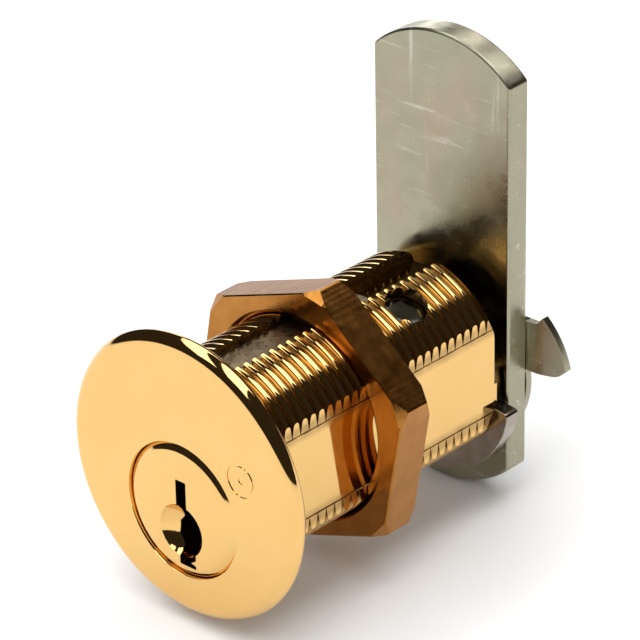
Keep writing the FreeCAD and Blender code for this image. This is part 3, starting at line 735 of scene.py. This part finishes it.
def tab_washer():
    low = span("tab_washer", 1)[0]
    thick, fold, fan, ease, slope = WASHER_THICK, 9.2, 12.0, 0.6, math.tan(math.radians(18))
    tip_x, root_x, root_top, foot, corner = 9.6, 5.0, 6.4, 1.4, 0.8
    tip_z = math.sqrt(fan ** 2 - tip_x ** 2)
    start = math.degrees(math.asin((foot + corner) / fan))
    end = math.degrees(math.asin(tip_z / fan))
    low_right = (math.sqrt(fan ** 2 - (foot + corner) ** 2) - corner, foot)
    outline = [(root_x, foot), low_right, *arc(fan, start, end, 24),
               (tip_x - 0.8 * (tip_z - root_top), root_top), (root_x, root_top)]
    radii = [0, 0.5] + [0.0] * 24 + [0.35, 0.3, 0]
    ear = prism("fan", [(x, z + AXIS) for x, z in soften(outline, radii, steps=5)], low, low + thick)
    round_edges(ear, 0.1)
    # the ear is cut into strips across the fold, then bent backwards along it
    edit = bmesh.new()
    edit.from_mesh(ear.data)
    for step in range(-4, 5):
        every = [*edit.verts, *edit.edges, *edit.faces]
        bmesh.ops.bisect_plane(edit, geom=every, plane_co=(fold + 0.15 * step, 0, 0), plane_no=(1, 0, 0))
    for vertex in edit.verts:
        past = vertex.co.x - fold
        bent = 0.0 if past < -ease else past if past > ease else (past + ease) ** 2 / (4 * ease)
        vertex.co.y += bent * slope
    edit.to_mesh(ear.data)
    edit.free()
    piece = prism("tab_plate", arc(7.95, 0, 358, 179, AXIS_AT), low, low + thick)
    round_edges(piece, 0.1)
    combine(piece, ear, "UNION")
    hole_r = 2.2
    hole = [(low - 1, 0.0), (low - 1, hole_r), (low + 2, hole_r), (low + 2, 0.0)]
    combine(piece, turned("hole", hole, AXIS_AT, FINE_ROUND))
    return finished(piece, "rotor", "tab_washer", MATERIALS["plated_steel"])


def hexagon(across_flats, turn, centre):
    corner = across_flats / math.sqrt(3)
    return [(centre[0] + corner * math.cos(math.radians(turn + 60 * k)),
             centre[1] + corner * math.sin(math.radians(turn + 60 * k))) for k in range(6)]


def cam_screw():
    seat = span("tab_washer", 1)[0] + WASHER_THICK
    top = span("cam_screw", 1)[1]
    flats, shank, length, point = 8.0, 2.05, 8, 0.45
    piece = prism("screw_head", hexagon(flats, 0, AXIS_AT), seat, top)
    round_edges(piece, 0.1)
    crown = [(seat - 1, 0.0), (seat - 1, 9), (top - 1.2, 6.2), (top, 3.75), (top, 0.0)]
    combine(piece, turned("crown", crown), "INTERSECT")
    combine(piece, turned("dish", [(top - 0.25, 0.0), (top - 0.25, 2.6), (top + 0.3, 3.3), (top + 0.3, 0.0)]))
    combine(piece, turned("shank", [(seat - length, 0.0), (seat - length, shank - point),
                                    (seat - length + 0.5, shank), (seat + 0.5, shank), (seat + 0.5, 0.0)],
                          AXIS_AT, FINE_ROUND), "UNION")
    return finished(piece, "rotor", "cam_screw", MATERIALS["screw_steel"])


# ---------- pin stacks ----------

def pins():
    brass = MATERIALS["pin_brass"]
    for number in range(PINS):
        name = number + 1
        low, high = span(f"key_pin_{name}", 2)
        key_pin = upright(f"key_pin_body_{name}", soften([
            (low, 0.0), (low, 0.45), (low + 0.9, PIN_R), (high, PIN_R), (high, 0.0),
        ], [0, 0.2, 0.3, 0.25, 0], closed=False), number)
        finished(key_pin, f"key_stack_{name}", f"key_pin_{name}", brass)
        low, high = span(f"driver_pin_{name}", 2)
        driver = upright(f"driver_pin_body_{name}", soften([
            (low, 0.0), (low, PIN_R), (high, PIN_R), (high, 0.0),
        ], [0, 0.15, 0.25, 0], closed=False), number)
        finished(driver, f"driver_{name}", f"driver_pin_{name}", brass)
        spring(number, high)


def spring(number, low):
    """A coil of round wire from the driver pin to the chamber's cover."""
    radius, wire, turns, turn_steps, around = 1.05, 0.14, 4.5, 28, 16
    high = CHANNEL_FLOOR
    steps = int(turns * turn_steps)
    vertices, faces = [], []
    for k in range(steps + 1):
        angle = math.tau * turns * k / steps
        height = low + wire + (high - low - 2 * wire) * k / steps
        out = Vector((math.cos(angle), math.sin(angle), 0))
        centre = out * radius + Vector((0, PIN_FIRST + number * PIN_SPACING, height))
        for j in range(around):
            turn = math.tau * j / around
            rise = Vector((0, 0, wire * math.sin(turn)))
            vertices.append(tuple(centre + out * wire * math.cos(turn) + rise))
    for k in range(steps):
        for j in range(around):
            following = (j + 1) % around
            faces.append((k * around + j, k * around + following,
                          (k + 1) * around + following, (k + 1) * around + j))
    faces.append(tuple(range(around)))
    faces.append(tuple(steps * around + j for j in reversed(range(around))))
    piece = new_piece(f"spring_coil_{number + 1}", vertices, faces)
    finished(piece, "housing", f"pin_spring_{number + 1}", MATERIALS["spring_steel"])
    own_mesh(piece)


# ---------- nut ----------

def mounting_nut():
    low, high = span("mounting_nut", 1)
    flats, turn, face, chamfer = 22.8, 19.8, 12.33, 0.75
    corner = flats / math.sqrt(3)
    piece = prism("nut_body", hexagon(flats, turn, CENTRE), low, high)
    round_edges(piece, 0.16, 3)
    slope = (corner - face) / chamfer
    combine(piece, turned("cones", [
        (low, 0.0), (low, face), (low + 2 * chamfer, face + 2 * chamfer * slope),
        (high - 2 * chamfer, face + 2 * chamfer * slope), (high, face), (high, 0.0),
    ], CENTRE), "INTERSECT")
    # its thread is wound like the barrel's, a little clear of it
    crest, deep, sink, above, wide = CREST + 0.1, 0.7, 0.55, 0.2, 0.6
    start = THREAD_FROM + PITCH * (math.floor((low - THREAD_FROM) / PITCH) - 2)
    end = start + 12 * PITCH
    combine(piece, threaded("thread", [(start - 2, 0.0), (start - 2, crest)], start, start + 9 * PITCH, crest,
                            deep, [(end, crest), (end, 0.0)]))
    for at, side in ((low, 1), (high, -1)):
        outer, inner = at - side * above, at + side * sink
        cone = [(outer, 0.0), (outer, crest + wide), (inner, crest + wide - above - sink), (inner, 0.0)]
        combine(piece, turned("sink", cone, CENTRE))
    return finished(piece, "nut", "mounting_nut", MATERIALS["raw_brass"])


barrel()
chamber_cover()
retaining_pin()
plug()
stop_washer()
cam()
tab_washer()
cam_screw()
pins()
mounting_nut()


# ---------- floor, light and camera ----------

def pale_floor():
    lowest, reach = cad_box[0].z - 0.2 * MM, 3.0
    corners = [(-reach, -reach, lowest), (reach, -reach, lowest), (reach, reach, lowest),
               (-reach, reach, lowest)]
    piece = new_piece("floor", corners, [(0, 1, 2, 3)])
    m = Nodes("floor")
    colour = m.ramp(m.noise(30, 2), [(0.3, 0.86), (0.7, 0.88)])
    m.link(colour, m.shader.inputs["Base Color"])
    m.shader.inputs["Roughness"].default_value = 0.9
    m.shader.inputs["Specular IOR Level"].default_value = 0.1
    piece.data.materials.append(m.material)


def soft_light(name, toward, width, depth, radiance, seen=True):
    """A panel aimed at the lock, its depth along the lock's axis; toward leads from the lock to it.
    Its radiance is what a mirror would show. A panel that isn't seen lights the floor but not the metal."""
    way = Vector(toward).normalized()
    light = bpy.data.lights.new(name, "AREA")
    light.shape = "RECTANGLE"
    light.size, light.size_y = width, depth
    light.energy = radiance * math.pi * width * depth
    lamp = bpy.data.objects.new(name, light)
    lamp.visible_glossy = seen
    middle = (cad_box[0] + cad_box[1]) / 2
    across = Vector((0, 1, 0)).cross(way).normalized()
    turn = Matrix((across, way.cross(across), way)).transposed().to_4x4()
    lamp.matrix_world = Matrix.Translation(middle + Vector(toward)) @ turn
    bpy.context.scene.collection.objects.link(lamp)


def world():
    made = bpy.data.worlds.new("room")
    made.use_nodes = True
    back = made.node_tree.nodes["Background"]
    back.inputs["Color"].default_value = (0.030, 0.026, 0.022, 1)
    back.inputs["Strength"].default_value = 1.0
    bpy.context.scene.world = made


def camera():
    azimuth, elevation, distance, roll = 42.834, 27.671, 0.33128, math.radians(-1.119)
    target = Vector((0.003547, 0.01241, 0.010986))
    a, e = math.radians(azimuth), math.radians(elevation)
    back = Vector((math.sin(a) * math.cos(e), -math.cos(a) * math.cos(e), math.sin(e)))
    data = bpy.data.cameras.new("camera")
    data.sensor_width = 36
    data.lens = 217.3
    data.clip_start, data.clip_end = 0.01, 20
    eye = bpy.data.objects.new("camera", data)
    eye.rotation_mode = "QUATERNION"
    eye.rotation_quaternion = back.to_track_quat("Z", "Y") @ Matrix.Rotation(roll, 4, "Z").to_quaternion()
    eye.location = target + back * distance
    bpy.context.scene.collection.objects.link(eye)
    bpy.context.scene.camera = eye


pale_floor()
world()
soft_light("window_right", (0.13, 0.02, 0.90), 0.40, 2.00, 2.8)
soft_light("window_left", (-0.42, 0.02, 0.80), 0.34, 2.00, 2.8)
soft_light("window_back", (-0.64, 0.58, 0.20), 0.24, 0.24, 3.5)
soft_light("overhead", (0.10, -0.30, 1.60), 1.6, 1.6, 1.00, seen=False)
soft_light("fill_right", (1.40, -0.50, 0.90), 1.2, 1.6, 1.60, seen=False)
soft_light("fill_left", (-1.40, -0.50, 0.90), 1.2, 1.6, 1.20, seen=False)
soft_light("fill_front", (0.20, -1.50, 0.80), 1.6, 1.2, 1.00, seen=False)
camera()
bpy.context.scene.view_settings.view_transform = "Standard"
